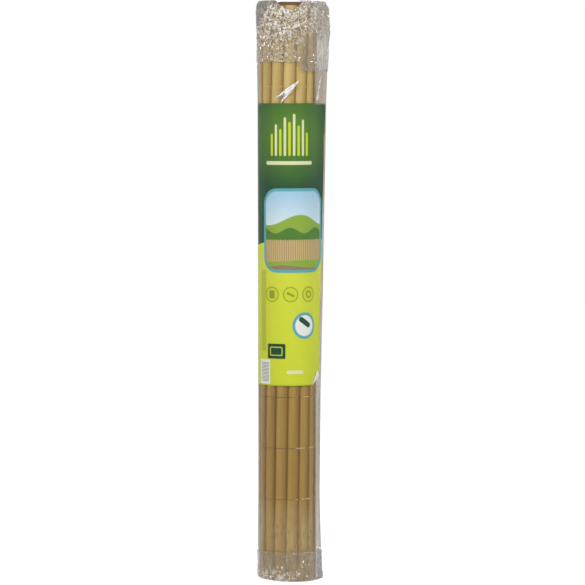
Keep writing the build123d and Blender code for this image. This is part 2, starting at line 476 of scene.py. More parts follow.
def cane_seats(canes):
    """The matrix that seats each cane on its chord of the spiral, and each hinge's angle."""
    pitch = canes.width + canes.gap
    radius, depth = cane_arch(canes)
    vault_reach = math.sqrt((radius - canes.wall) ** 2 - depth**2)
    core = pitch / (2 * math.sin(math.pi / canes.core))
    loose = math.sqrt(core**2 + canes.count * pitch * (canes.rise + canes.clearance) / math.pi)
    nesting = loose - math.sqrt(loose**2 - vault_reach**2)
    turn_pitch = canes.rise + canes.clearance - nesting

    def reach(at):
        return core + turn_pitch * at / TURN

    # Each chord is one pitch long, which a few rounds settle
    hinges = [0.0]
    for _ in range(canes.count):
        near = reach(hinges[-1])
        step = pitch / near
        for _ in range(12):
            far = reach(hinges[-1] + step)
            step = 2 * math.asin(math.sqrt((pitch**2 - (far - near) ** 2) / (4 * near * far)))
        hinges.append(hinges[-1] + step)
    roll_turn = canes.end_angle - hinges[-1]
    corners = []
    for at in hinges:
        turn = at + roll_turn
        corners.append(Vector((reach(at) * math.cos(turn), reach(at) * math.sin(turn), 0)))
    seats = []
    for start, end in zip(corners, corners[1:]):
        along = (start - end).normalized()
        outward = Vector((-along.y, along.x, 0))
        if outward.dot(start) < 0:
            outward, along = -outward, -along
        turned = Matrix((along, outward, (0, 0, 1))).transposed().to_4x4()
        seats.append(Matrix.Translation((start + end) / 2) @ turned)
    return seats, hinges


def rise_between(values, low, high):
    """Nought below low, one above high, and even between them; low may be the larger."""
    return np.clip((values - low) / (high - low), 0, 1)


def foot_lift(points, canes):
    """How far the roll's foot is raised at each point: most at its left, not at its right."""
    leftward = rise_between(points[:, 0], 0.05, -0.05)
    return canes.foot_slant * leftward * rise_between(points[:, 2], 0.04, 0.0)


def settle(points, canes):
    """Leans the wound canes and widens the roll towards its top, as the real roll settled."""
    up = points[:, 2] / MAT_HIGH.z
    turn = canes.lean * up * (1 + up) / 2
    wide = 1 + canes.swell * up**2
    settled = points.copy()
    right = points[:, 0] * np.cos(turn) - points[:, 1] * np.sin(turn)
    settled[:, 0] = wide * right - canes.shift
    settled[:, 1] = wide * (points[:, 0] * np.sin(turn) + points[:, 1] * np.cos(turn))
    settled[:, 2] += foot_lift(settled, canes)
    return settled


def model_cane(canes):
    """One cane on the origin: an edge spun to the arch's section, then drawn to its length."""
    arc_steps, lifts = 10, 3
    radius, _ = cane_arch(canes)
    half_turn = math.asin(canes.width / 2 / radius)
    deselect_all()
    start = (canes.wall / 2, radius - canes.wall / 2, 0)
    bpy.ops.mesh.primitive_plane_add(size=canes.wall, location=start)
    cane = bpy.context.object
    bpy.ops.object.transform_apply(location=True, rotation=True, scale=True)
    # Only the plane's left edge is kept, to be spun into the section
    for kind in (cane.data.edges, cane.data.polygons):
        kind.foreach_set("select", np.zeros(len(kind), bool))
    right = points_of(cane.data)[:, 0] > canes.wall / 2
    cane.data.vertices.foreach_set("select", right)
    bpy.ops.object.mode_set(mode="EDIT")
    bpy.ops.mesh.select_mode(type="VERT")
    bpy.ops.mesh.delete(type="VERT")
    bpy.ops.mesh.select_all(action="SELECT")
    bpy.ops.mesh.spin(steps=arc_steps, angle=2 * half_turn, center=(0, 0, 0), axis=(0, 0, 1))
    end_edit()
    side = math.copysign(half_turn, points_of(cane.data)[:, 0].mean())
    cane.data.transform(Matrix.Rotation(side, 4, "Z"))
    arc = points_of(cane.data)
    inner = np.hypot(arc[:, 0], arc[:, 1]) < radius - canes.wall / 2
    part = np.arctan2(arc[:, 0], arc[:, 1]) / half_turn
    across, rise = cane_section(part, canes, np.where(inner, canes.wall, 0))
    move_points(cane.data, np.column_stack((across, rise, np.full(len(arc), MAT_LOW.z))))
    edit_all(cane)
    lift = (MAT_HIGH.z - MAT_LOW.z) / lifts
    for _ in range(lifts):
        bpy.ops.mesh.extrude_region_move(TRANSFORM_OT_translate={"value": (0, 0, lift)})
    end_edit()
    tidy_mesh(cane)
    return cane


class REED_OT_canes(bpy.types.Operator):
    """Winds the half-round canes into the roll"""

    bl_idname = "reed_screen.canes"
    bl_label = "Canes"

    def execute(self, context):
        canes = context.scene.reed_canes
        draw = random.Random(11)
        streak_step = 0.37
        cane = model_cane(canes)
        local = points_of(cane.data)
        seats, _ = cane_seats(canes)
        copies = []
        for number, seat in enumerate(seats):
            mesh = cane.data.copy()
            own = np.full(len(local), number * streak_step)
            store(mesh, "cane_place", np.column_stack((local[:, 0], own, local[:, 2])))
            store(mesh, "cane_tint", np.full(len(local), draw.random()))
            mesh.transform(seat)
            copy = bpy.data.objects.new(f"cane_{number}", mesh)
            context.collection.objects.link(copy)
            copies.append(copy)
        bpy.data.objects.remove(cane)
        select_only(copies[0])
        for copy in copies:
            copy.select_set(True)
        bpy.ops.object.join()
        roll = context.object
        move_points(roll.data, settle(points_of(roll.data), canes))
        smooth(roll, 40)
        finish_piece(roll, "wound_canes", [cane_material(canes)], ["reed_mat"])
        return {"FINISHED"}


class REED_OT_threads(bpy.types.Operator):
    """Lays a row of thread over the canes for each row of the solids"""

    bl_idname = "reed_screen.threads"
    bl_label = "Binding threads"

    def execute(self, context):
        canes = context.scene.reed_canes
        threads = context.scene.reed_threads
        seats, hinges = cane_seats(canes)
        stand_off = threads.thickness / 2 - threads.bite
        outer = [seat for seat, at in zip(seats, hinges) if at > hinges[-1] - TURN]
        path = []
        for seat in outer:
            for part in (0.9, 0.62, 0.3, 0.0, -0.3, -0.62, -0.9):
                across, rise = cane_section(part, canes, -stand_off)
                path.append(seat @ Vector((across, rise, 0)))
        deselect_all()
        bpy.ops.curve.primitive_nurbs_path_add()
        strand = context.object
        strand.data.splines.clear()
        spline = strand.data.splines.new("NURBS")
        spline.points.add(len(path) - 1)
        for point, at in zip(spline.points, path):
            point.co = (*at, 1)
        spline.order_u = 3
        spline.use_endpoint_u = True
        spline.resolution_u = 2
        strand.data.bevel_depth = threads.thickness / 2
        strand.data.bevel_resolution = 1
        strand.data.use_fill_caps = True
        bpy.ops.object.convert(target="MESH")
        strand = context.object
        tidy_mesh(strand)
        material = thread_material(threads, canes)
        for row, node_name in enumerate(THREAD_NODES, 1):
            low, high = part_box(node_name)
            mesh = strand.data.copy()
            mesh.transform(Matrix.Translation((0, 0, (low.z + high.z) / 2)))
            move_points(mesh, settle(points_of(mesh), canes))
            name = f"thread_row_{row:02d}"
            copy = bpy.data.objects.new(name, mesh)
            context.collection.objects.link(copy)
            smooth(copy, 50)
            finish_piece(copy, name, [material], [node_name])
        bpy.data.objects.remove(strand)
        return {"FINISHED"}


def film_outline(height):
    """Radius of the film's round, reach of its fold's tip, and the angle where the fold leaves."""
    levels, radii, tips = np.array(FILM_LEVELS).T
    radius = np.interp(height, levels, radii)
    tip = np.interp(height, levels, tips)
    return radius, tip, np.arccos(radius / tip)


def label_place(across, height, lift, label):
    """Where a point of the flat sheet lies: across is measured from the middle of the front."""
    film_radius, _, leave = film_outline(height)
    radius = film_radius - label.inset
    beyond = across - (TURN - leave - FRONT) * radius
    past = np.arctan2(np.maximum(beyond, 0), radius)
    turn = np.where(beyond < 0, FRONT + across / radius, TURN - leave + past)
    reach = (radius + lift) / np.cos(past)
    return np.column_stack((reach * np.cos(turn), reach * np.sin(turn), height))


def label_right_edge(height, label):
    """How far right of the front's middle the sheet's edge lies."""
    film_radius, _, leave = film_outline(height)
    up = (height - LABEL_LOW.z) / (LABEL_HIGH.z - LABEL_LOW.z)
    along_fold = label.foot_share + (label.top_share - label.foot_share) * up
    return (film_radius - label.inset) * (TURN - leave - FRONT + along_fold * np.tan(leave))


def printed_shape_group():
    """A node group that draws one rounded shape of the print: its fill and its outline."""
    group = bpy.data.node_groups.new("printed shape", "ShaderNodeTree")
    for in_out, kind, names in (
        ("INPUT", "NodeSocketVector", ("Place", "Centre", "Half size")),
        ("INPUT", "NodeSocketFloat", ("Corner", "Turn", "Line")),
        ("OUTPUT", "NodeSocketFloat", ("Fill", "Outline")),
    ):
        for name in names:
            group.interface.new_socket(name, in_out=in_out, socket_type=kind)
    given = node(group, "NodeGroupInput").outputs
    off = vector_calc(group, "SUBTRACT", given["Place"], given["Centre"])
    turn_inputs = {"Vector": off, "Angle": given["Turn"]}
    turned = node(group, "ShaderNodeVectorRotate", turn_inputs, rotation_type="Z_AXIS").outputs[0]
    corner_inputs = {0: given["Corner"], 1: given["Corner"]}
    corner = node(group, "ShaderNodeCombineXYZ", corner_inputs).outputs[0]
    inner = vector_calc(group, "SUBTRACT", given["Half size"], corner)
    past = vector_calc(group, "SUBTRACT", vector_calc(group, "ABSOLUTE", turned), inner)
    outside = vector_calc(group, "LENGTH", vector_calc(group, "MAXIMUM", past, (0, 0, 0)))
    distance = calc(group, "SUBTRACT", outside, given["Corner"])
    off_line = calc(group, "SUBTRACT", calc(group, "ABSOLUTE", distance), given["Line"])
    soft = 0.0003
    drawn = {
        "Fill": remap(group, distance, soft, -soft),
        "Outline": remap(group, off_line, soft, -soft),
    }
    node(group, "NodeGroupOutput", drawn)
    return group


class Print:
    """Lays simple shapes over each other, in mm from the front's middle at the sheet's foot."""

    def __init__(self, tree):
        self.tree = tree
        self.place = attribute(tree, "print_place", "Vector")
        self.across, self.up, _ = split(tree, self.place)
        self.group = printed_shape_group()
        self.colour = None

    def lay(self, mask, colour):
        self.colour = blend_colours(self.tree, mask, self.colour, colour)

    def mask(self, centre, half, corner, turn=0.0, line=0.0):
        inputs = {
            "Place": self.place,
            "Centre": (centre[0] / 1000, centre[1] / 1000, 0),
            "Half size": (half[0] / 1000, half[1] / 1000, 0),
            "Corner": corner / 1000,
            "Turn": math.radians(turn),
            "Line": line / 1000,
        }
        shape = node(self.tree, "ShaderNodeGroup", inputs, node_tree=self.group)
        return shape.outputs["Outline" if line else "Fill"]

    def shape(self, colour, centre, half, corner, turn=0.0, line=0.0):
        self.lay(self.mask(centre, half, corner, turn, line), colour)

    def below(self, height, swell, wave, phase=0.0):
        """Everything below a wavy line."""
        soft = 0.3 / 1000
        along = total(self.tree, product(self.tree, self.across, wave), phase)
        bend = product(self.tree, calc(self.tree, "SINE", along), swell / 1000)
        line = total(self.tree, bend, height / 1000)
        return remap(self.tree, calc(self.tree, "SUBTRACT", self.up, line), soft, -soft)

    def stripes(self, axis, per_metre, width):
        beat = calc(self.tree, "FRACT", product(self.tree, axis, per_metre))
        return calc(self.tree, "LESS_THAN", beat, width)

    def both(self, first, second):
        return product(self.tree, first, second)


def label_material(label):
    """Coated paper with a garden print: deep green over lime, a framed view and small marks."""
    material, tree = new_material("printed paper")
    print_ = Print(tree)
    white, cream, ink = (0.84, 0.85, 0.80), (0.74, 0.76, 0.45), (0.05, 0.06, 0.05)
    sky, haze = (0.36, 0.60, 0.78), (0.75, 0.85, 0.88)
    hedge, meadow = (0.075, 0.21, 0.03), (0.27, 0.42, 0.05)
    reed, reed_dark, soil = (0.58, 0.44, 0.20), (0.34, 0.23, 0.09), (0.30, 0.20, 0.12)
    pale_lime, paper_grey = (0.66, 0.73, 0.06), (0.4, 0.42, 0.35)

    # Upper field, with a glow, and the lower field
    off_glow = vector_calc(tree, "DISTANCE", print_.place, (0.004, 0.432, 0))
    glow = remap(tree, off_glow, 0.010, 0.100, 0.95, 0.0)
    print_.colour = blend_colours(tree, glow, label.deep_green, label.leaf_green)
    lime = blend_colours(tree, remap(tree, print_.up, 0.0, 0.25), label.lime, pale_lime)
    print_.lay(print_.below(250, 9, 26, 0.9), lime)

    # A stand of upright reeds over a bar in the upper field
    for number, tall in enumerate((19, 27, 23, 33, 29, 36, 26, 31, 20)):
        tone = cream if number % 2 else label.lime
        print_.shape(tone, ((number - 4) * 8 + 2, 396 + tall), (2.1, tall), 2.0)
    print_.shape(cream, (2, 384), (44, 3.2), 3.1)

    # Framed view: sky, a hill, a hedge, a run of reeds, a lawn and soil
    view_shape = ((14, 268), (60, 70), 26)
    view = print_.mask(*view_shape)
    print_.lay(view, blend_colours(tree, remap(tree, print_.up, 0.262, 0.336), haze, sky))
    print_.lay(print_.both(view, print_.below(286, 9, 55, 0.4)), meadow)
    print_.lay(print_.both(view, print_.below(268, 5, 120, 1.2)), hedge)
    fence = print_.both(view, print_.below(252, 0.8, 900))
    print_.lay(fence, reed)
    print_.lay(print_.both(fence, print_.stripes(print_.across, 260, 0.3)), reed_dark)
    print_.lay(print_.both(view, print_.below(216, 1.5, 40)), meadow)
    print_.lay(print_.both(view, print_.below(206, 2.5, 60, 2.0)), soil)
    print_.shape(label.teal, *view_shape, line=2.6)

    # Small marks of the lower field
    for side in (-30, 4, 38):
        print_.shape(label.lime, (side, 158), (13, 13), 12.9)
        print_.shape(label.olive, (side, 158), (12.4, 12.4), 12.3, line=0.9)
    print_.shape(label.olive, (-30, 158), (5.5, 7), 3)
    print_.shape(label.olive, (4, 158), (7.5, 2), 1.9, 25)
    print_.shape(label.olive, (38, 158), (5, 5), 4.9, line=1.4)
    print_.shape(label.teal, (30, 104), (23, 23), 22.9)
    print_.shape(white, (30, 104), (18, 18), 17.9)
    print_.shape(label.deep_green, (30, 110), (13, 4.5), 4.4, 35)
    print_.shape(label.deep_green, (-22, 60), (17, 13), 2.5)
    print_.shape(label.lime, (-22, 60), (11, 7), 1.5, line=0.8)
    lines = print_.mask((-50, 130), (7, 70), 0.5)
    print_.lay(print_.both(lines, print_.stripes(print_.up, 330, 0.45)), label.olive)
    print_.shape(white, (-47, 24), (13, 21), 1.0)
    bars = print_.mask((-46, 24), (9.5, 17), 0.2)
    print_.lay(print_.both(bars, print_.stripes(print_.up, 410, 0.42)), ink)
    print_.shape(cream, (12, 24), (15, 3), 2.9)

    # The paper's own grain, shallow waves and gloss
    place = object_place(tree)
    grain = noise(tree, place, 900, 3)
    waves = noise(tree, place, (28, 28, 9), 2)
    base = blend_colours(tree, remap(tree, grain, 0.3, 0.7, 0.0, 0.05), print_.colour, paper_grey)
    relief = total(tree, waves, product(tree, grain, 0.04))
    rough = remap(tree, grain, 0.3, 0.7, 0.42, 0.55)
    output(tree, principled(tree, base, rough, bump(tree, relief, 0.35, 0.003), 0.06))
    return material


def label_back_material():
    """The sheet's bare white back, which shows on the folded corner."""
    material, tree = new_material("paper back")
    fibres = noise(tree, object_place(tree), 700, 4)
    tone = remap(tree, fibres, 0.3, 0.7)
    base = blend_colours(tree, tone, (0.74, 0.74, 0.71), (0.86, 0.86, 0.84))
    rough = remap(tree, fibres, 0.3, 0.7, 0.7, 0.85)
    output(tree, principled(tree, base, rough, bump(tree, fibres, 0.2, 0.0003)))
    return material


class REED_OT_label(bpy.types.Operator):
    """Lays the printed sheet round the roll and folds its corner over"""

    bl_idname = "reed_screen.label"
    bl_label = "Label"

    def execute(self, context):
        label = context.scene.reed_label
        height = LABEL_HIGH.z - LABEL_LOW.z
        on_crease, least_lift, lift_slope = 1e-7, 0.0004, 0.05

        # Flat sheet: its right edge at nought, its lower edge on the ground line
        sheet, grid = new_grid(110, 140)
        right, up = (grid[:, 0] - 0.5) * label.width, (grid[:, 1] + 0.5) * height
        move_points(sheet.data, np.column_stack((right, up, np.zeros(len(grid)))))
        crease = Vector((label.fold_width, label.fold_height, 0)).normalized()
        off_crease = Vector((crease.y, -crease.x, 0))
        start = Vector((-label.fold_width, 0, 0))
        edit_all(sheet)
        bpy.ops.mesh.bisect(plane_co=start, plane_no=off_crease)
        end_edit()

        # The print lies on the flat sheet; then the corner is folded and the sheet wrapped round
        flat = points_of(sheet.data)
        print_across = flat[:, 0] + label_right_edge(LABEL_LOW.z + flat[:, 1], label)
        print_place = np.column_stack((print_across, flat[:, 1], np.zeros(len(flat))))
        store(sheet.data, "print_place", print_place)
        beyond = (flat - np.array(start)) @ np.array(off_crease)
        folded = beyond > on_crease
        over = np.where(folded, beyond, 0)
        turned = flat - 2 * over[:, None] * np.array(off_crease)
        up = LABEL_LOW.z + turned[:, 1]
        lift = np.where(folded, least_lift + lift_slope * over, 0)
        across = turned[:, 0] + label_right_edge(up, label)
        move_points(sheet.data, label_place(across, up, lift, label))
        smooth(sheet, 60)

        # The printed face has the first material; the wall's other side and rim take the second
        materials = [label_material(label), label_back_material()]
        finish_piece(sheet, "printed_label", materials, ["paper_label"])
        apply_modifier(
            sheet,
            "SOLIDIFY",
            "Paper",
            thickness=label.thickness,
            offset=-1,
            material_offset=1,
            material_offset_rim=1,
        )
        return {"FINISHED"}


def facet_bump(tree, place, cell, tilt, normal=None):
    """A normal that breaks a surface into small flat facets, each tilted its own way."""
    scaled = stretched(tree, place, (1 / cell, 1 / cell, 0.7 / cell))
    inputs = {"Vector": scaled, "Scale": 1.0}
    cells = node(tree, "ShaderNodeTexVoronoi", inputs, feature="F1").outputs
    lean = vector_calc(tree, "SUBTRACT", cells["Color"], MIDDLE_GREY)
    off = vector_calc(tree, "SUBTRACT", scaled, cells["Position"])
    height = vector_calc(tree, "DOT_PRODUCT", lean, off)
    return bump(tree, height, 1.0, cell * tilt, normal)


def painted_glint_shards(tree, place, size, from_share):
    """Painted glints: how bright each small facet of crumpled film is painted, nought on most, up
    to one on the rest.
    """
    inputs = {"Vector": place, "Scale": 0.5 / size, "Detail": 2.0}
    wander = node(tree, "ShaderNodeTexNoise", inputs).outputs["Color"]
    shift = vector_calc(tree, "SUBTRACT", wander, MIDDLE_GREY)
    bent = vector_calc(tree, "MULTIPLY_ADD", shift, (size * 4,) * 3, place)
    inputs = {"Vector": bent, "Scale": 1 / size}
    cells = node(tree, "ShaderNodeTexVoronoi", inputs, feature="F1").outputs["Color"]
    chance = node(tree, "ShaderNodeSeparateColor", {0: cells}).outputs[0]
    return calc(tree, "POWER", remap(tree, chance, from_share, 1.0), 1.2)


def film_material(name, film, tint, *, gloss, index, most_shine, cell, tilt, stretch):
    """Clear film: glossy, hazy where doubled, with painted white glints on its facets and painted
    grey shade where it lies edge on and where its points are given shade.
    """
    material, tree = new_material(name)
    place = object_place(tree)
    parts = ("haze", "film_shade", "rim", "painted_sparkle")
    haze, film_shade, rim_share, painted_sparkle = (attribute(tree, part) for part in parts)
    clouds = noise(tree, stretched(tree, place, (1, 1, stretch)), 0.9 / cell, 4, 0.6)
    facets = facet_bump(tree, place, cell * 0.5, tilt, facet_bump(tree, place, cell, tilt))

    # The clear sheet and its gloss
    clear = node(tree, "ShaderNodeBsdfTransparent", {"Color": (0.985, 0.985, 0.985, 1)})
    gloss_inputs = {"Color": WHITE, "Roughness": gloss, "Normal": facets}
    shine = node(tree, "ShaderNodeBsdfGlossy", gloss_inputs)
    fresnel = node(tree, "ShaderNodeFresnel", {"IOR": index}).outputs[0]
    sheet = blend_shaders(tree, calc(tree, "MINIMUM", fresnel, most_shine), clear, shine)

    # What clouds it: haze, painted grey shade from its points and from the edge-on rim, and the
    # bright facets' painted glints
    edge = node(tree, "ShaderNodeLayerWeight", {"Blend": 0.5}).outputs["Facing"]
    dark = total(tree, film_shade, product(tree, calc(tree, "POWER", edge, 4.0), rim_share))
    fine = painted_glint_shards(tree, place, film.shard, 0.46)
    coarse = painted_glint_shards(tree, place, film.shard * 2.3, 0.82)
    glint = product(tree, calc(tree, "MAXIMUM", fine, coarse), painted_sparkle)
    dim_tint = tuple(part * 0.72 for part in tint)
    hazy = blend_colours(tree, remap(tree, clouds, 0.35, 0.65), dim_tint, tint)
    film_shaded = blend_colours(tree, remap(tree, dark, 0.0, 0.2), hazy, film.film_shade)
    bright = blend_colours(tree, coarse, film.glint, film.white)
    tone = blend_colours(tree, remap(tree, glint, 0.0, 0.35), film_shaded, bright)
    patchy = product(tree, haze, remap(tree, clouds, 0.35, 0.65, 0.55, 1.45))
    amount = total(tree, total(tree, patchy, dark), glint, clamp=True)
    output(tree, blend_shaders(tree, amount, sheet, principled(tree, tone, 0.35, facets)))
    return material


def film_points(turn, height, inward, stand_off):
    """Points on the film at an angle and a height; inward draws them towards the axis."""
    radius, _, leave = film_outline(height)
    off_tip = np.minimum(turn, TURN - turn)
    on_fold = np.maximum(leave - off_tip, 0)
    reach = (radius / np.cos(on_fold) + stand_off) * inward
    # Shallow pleats down the fold's walls, deeper towards the top
    depth, pace, drift = 0.00035, 55, 9
    pleats = depth * np.clip((height - 0.55) / 0.4, 0.15, 1.0)
    pleats *= np.sin(on_fold * pace + height * drift)
    reach += np.where(on_fold > 0, pleats, 0) * inward
    return np.column_stack((reach * np.cos(turn), reach * np.sin(turn), height))


def film_tube(columns, rows, path, stand_off):
    """A grid rolled round the axis, its rows laid along a path of height and inward share."""
    tube, grid = new_grid(columns, rows)
    turn = (grid[:, 0] + 0.5) * TURN
    turn = np.where(turn > TURN - 1e-6, 0, turn)
    height, inward = path(grid[:, 1] + 0.5, turn)
    move_points(tube.data, film_points(turn, height, inward, stand_off))
    tidy_mesh(tube)
    return tube


def crumple(tube, name, cell, strength, weights, seed_shift):
    """Breaks a tube of film into small creased facets."""
    texture = bpy.data.textures.new(name, "VORONOI")
    texture.noise_scale = cell
    texture.weight_1, texture.weight_2 = -1, 1
    texture.noise_intensity = 1.4
    group = tube.vertex_groups.new(name=name)
    for number, weight in enumerate(weights):
        group.add([number], float(weight), "REPLACE")
    aside = np.array((seed_shift, 0, 0))
    move_points(tube.data, points_of(tube.data) + aside)
    apply_modifier(
        tube,
        "DISPLACE",
        name,
        texture=texture,
        texture_coords="LOCAL",
        strength=strength,
        mid_level=0.35,
        vertex_group=name,
    )
    move_points(tube.data, points_of(tube.data) - aside)
    tube.vertex_groups.clear()


def cuff_window(turn):
    """One on the right of the front, where the upper cuff reaches lower, else nought."""
    degrees = np.degrees(turn)
    onward = np.where(degrees < 90, degrees + 360, degrees)
    return rise_between(onward, 291, 293) * rise_between(onward, 402, 400)


def clear_window(points):
    """How clear the upper cuff is: one in the smoother patch right of the front, else nought."""
    left, right, soft = -70, -26, 4
    degrees = np.degrees(np.arctan2(points[:, 1], points[:, 0]))
    side = np.clip((degrees - left) / soft, 0, 1) * np.clip((right - degrees) / soft, 0, 1)
    border = 0.927 + (degrees - left) * 0.0008
    return side * np.clip((border - points[:, 2]) / 0.006, 0, 1)


def finish_film(tube, name, film, material, nodes=(), haze=0.0, film_shade=0.0, rim=0.0, painted_sparkle=0.0):
    """Gives a piece of film its wall, and keeps how hazy its points are and how much painted shade
    and painted glint they take.
    """
    count = len(tube.data.vertices)
    for part, amount in (("haze", haze), ("film_shade", film_shade), ("rim", rim), ("painted_sparkle", painted_sparkle)):
        store(tube.data, part, np.broadcast_to(amount, count))
    smooth(tube, 22)
    apply_modifier(tube, "SOLIDIFY", "Film", thickness=film.thickness, offset=-1)
    finish_piece(tube, name, [material], nodes)


class REED_OT_sleeve(bpy.types.Operator):
    """Draws the clear sleeve round the canes and the label"""

    bl_idname = "reed_screen.sleeve"
    bl_label = "Film sleeve"

    def execute(self, context):
        film = context.scene.reed_film
        label = context.scene.reed_label
        low, high = film.cuff_foot - film.overlap, film.cuff_top + film.overlap

        def path(share_up, _):
            return low + share_up * (high - low), np.ones(len(share_up))

        tube = film_tube(150, 150, path, 0.0)
        right, back, up = points_of(tube.data).T
        turn = np.arctan2(back, right)

        # Where no label lies behind the film, where no cuff covers it, and where it is the fold
        radius, _, leave = film_outline(up)
        past = turn + leave
        across = radius * (math.pi / 2 - leave + np.where(past > 0, np.tan(past), past))
        over_label = (up > LABEL_LOW.z) & (up < LABEL_HIGH.z) & (back < 0)
        bare = np.where(over_label & (across < label_right_edge(up, label)), 0.0, 1.0)
        border = film.cuff_top - film.cuff_step * cuff_window(turn % TURN)
        single = (up > film.cuff_foot) & (up < border)
        on_fold = rise_between(right, 0.0455, 0.0475)
        fold_haze = (0.42 - 0.07 * rise_between(up, 0.60, 0.40)) * on_fold * single
        low_haze = 0.02 * rise_between(up, 0.15, 0.11) * (1 - on_fold)
        material = film_material(
            "clear film",
            film,
            film.tint,
            gloss=0.10,
            index=1.12,
            most_shine=0.008,
            cell=0.02,
            tilt=0.06,
            stretch=0.08,
        )
        finish_film(
            tube,
            "film_wrap",
            film,
            material,
            ["film_sleeve"],
            haze=0.004 + bare * (fold_haze + low_haze),
            # Painted grey shade where the bare film lies edge on
            rim=0.05 + 0.85 * bare * single * (1 - 0.8 * on_fold),
        )
        return {"FINISHED"}


def top_cuff(film):
    """The film's upper end: its wall turns in over the canes, and opens low in its front."""
    wall_share, brim, dip = 0.86, 1.0042, 0.0142
    opening_shift, opening_half, fold_half = 0.06, 0.36, 0.45
    round_from, round_to = 0.992, 1.0044

    def path(share_up, turn):
        opening = np.exp(-(((turn - FRONT - opening_shift) / opening_half) ** 4))
        border = film.cuff_top - film.cuff_step * cuff_window(turn)
        wall = np.clip(share_up / wall_share, 0, 1)
        over = np.clip((share_up - wall_share) / (1 - wall_share), 0, 1)
        height = border + wall * (brim - dip * opening - border)
        rounding = rise_between(height, round_from, round_to)
        at_fold = np.exp(-((np.minimum(turn, TURN - turn) / fold_half) ** 2))
        shoulder = (0.10 - 0.08 * at_fold) * (1 - np.sqrt(1 - rounding**2))
        return height, 1 - (0.30 - 0.29 * opening) * over - shoulder

    tube = film_tube(230, 96, path, film.stand_off)

    # Where each look lies is read from the tube before it is crumpled
    even = points_of(tube.data)
    right, back, up = even.T
    clear = clear_window(even)
    on_fold = rise_between(right, 0.0485, 0.0510)
    dense = rise_between(up, 0.925, 0.965)
    hidden = (0.85 + 0.35 * rise_between(right, 0.030, -0.015)) * (1 - 0.85 * clear)

    # The cloudy lobe, hazy and with painted shade, is a crescent at the upper left, with a band
    # along the brim
    crescent = rise_between((right + 0.051) / 0.017 + (0.998 - up) / 0.035, 1.25, 0.85)
    band = rise_between(up, 0.9925, 0.9975) * rise_between(right, -0.006, -0.014)
    lobe = rise_between(back, 0.02, -0.01) * np.maximum(crescent, band)

    upward = np.clip((up - film.cuff_top) / 0.03, 0.1, 1) * (1 - 0.8 * clear)
    on_wall = np.clip((np.hypot(right, back) - 0.045) / 0.008, 0.15, 1)
    weights = upward * on_wall * (1 - 0.5 * lobe)
    crumple(tube, "large creases", 0.016, film.crumple, weights, 0.7)
    crumple(tube, "fine creases", 0.006, film.crease, weights, 1.3)
    material = film_material(
        "crumpled film",
        film,
        film.cuff_tint,
        gloss=0.13,
        index=1.38,
        most_shine=0.12,
        cell=0.0048,
        tilt=1.1,
        stretch=0.5,
    )
    finish_film(
        tube,
        "film_cuff_top",
        film,
        material,
        haze=(0.10 + 0.17 * dense) * hidden + 0.11 * on_fold + 0.10 * clear + 0.30 * lobe,
        film_shade=0.14 * lobe + 0.07 * clear,
        rim=0.30 - 0.15 * on_fold,
        painted_sparkle=(0.38 + 0.50 * dense) * hidden * (1 - 0.75 * on_fold) * (1 - 0.88 * lobe),
    )


def foot_cuff(film, canes):
    """The film's lower end: it closes flat under the roll, and slants with the roll's foot."""
    floor_share, front_rise, off_floor = 0.30, 0.003, 0.0002
    floor_reach, round_share = 0.985, 0.06

    def path(share_up, turn):
        floor = np.clip(share_up / floor_share, 0, 1)
        wall = np.clip((share_up - floor_share) / (1 - floor_share), 0, 1)
        border = film.cuff_foot + front_rise * np.cos(turn - FRONT)
        rounding = np.clip(wall / round_share, 0, 1)
        return wall * border + off_floor, floor * floor_reach + (1 - floor_reach) * rounding

    tube = film_tube(200, 60, path, film.stand_off)

    # Where each look lies is read from the tube before it is slanted and crumpled
    even = points_of(tube.data)
    right, _, up = even.T
    slanted = even.copy()
    slanted[:, 2] += foot_lift(even, canes)
    move_points(tube.data, slanted)
    weights = np.clip(up / 0.006, 0, 1) * np.clip((film.cuff_foot - up) / 0.012, 0.1, 1)
    crumple(tube, "foot creases", 0.014, film.crumple * 0.7, weights, 1.9)
    crumple(tube, "fine foot creases", 0.006, film.crease, weights, 2.3)
    on_fold = rise_between(right, 0.0485, 0.0510)
    # Painted glints gather at the lower left
    low_left = rise_between(up, 0.026, 0.010) * rise_between(right, 0.03, -0.01)
    material = film_material(
        "drawn film",
        film,
        film.cuff_tint,
        gloss=0.13,
        index=1.35,
        most_shine=0.08,
        cell=0.0060,
        tilt=0.8,
        stretch=0.4,
    )
    finish_film(
        tube,
        "film_cuff_foot",
        film,
        material,
        haze=0.05 + 0.16 * on_fold,
        film_shade=0.06 + 0.06 * on_fold,
        rim=0.4,
        painted_sparkle=0.12 + 0.6 * low_left,
    )


class REED_OT_cuffs(bpy.types.Operator):
    """Gathers the crumpled ends of the film over the foot and the top of the roll"""

    bl_idname = "reed_screen.cuffs"
    bl_label = "Film cuffs"

    def execute(self, context):
        top_cuff(context.scene.reed_film)
        foot_cuff(context.scene.reed_film, context.scene.reed_canes)
        return {"FINISHED"}


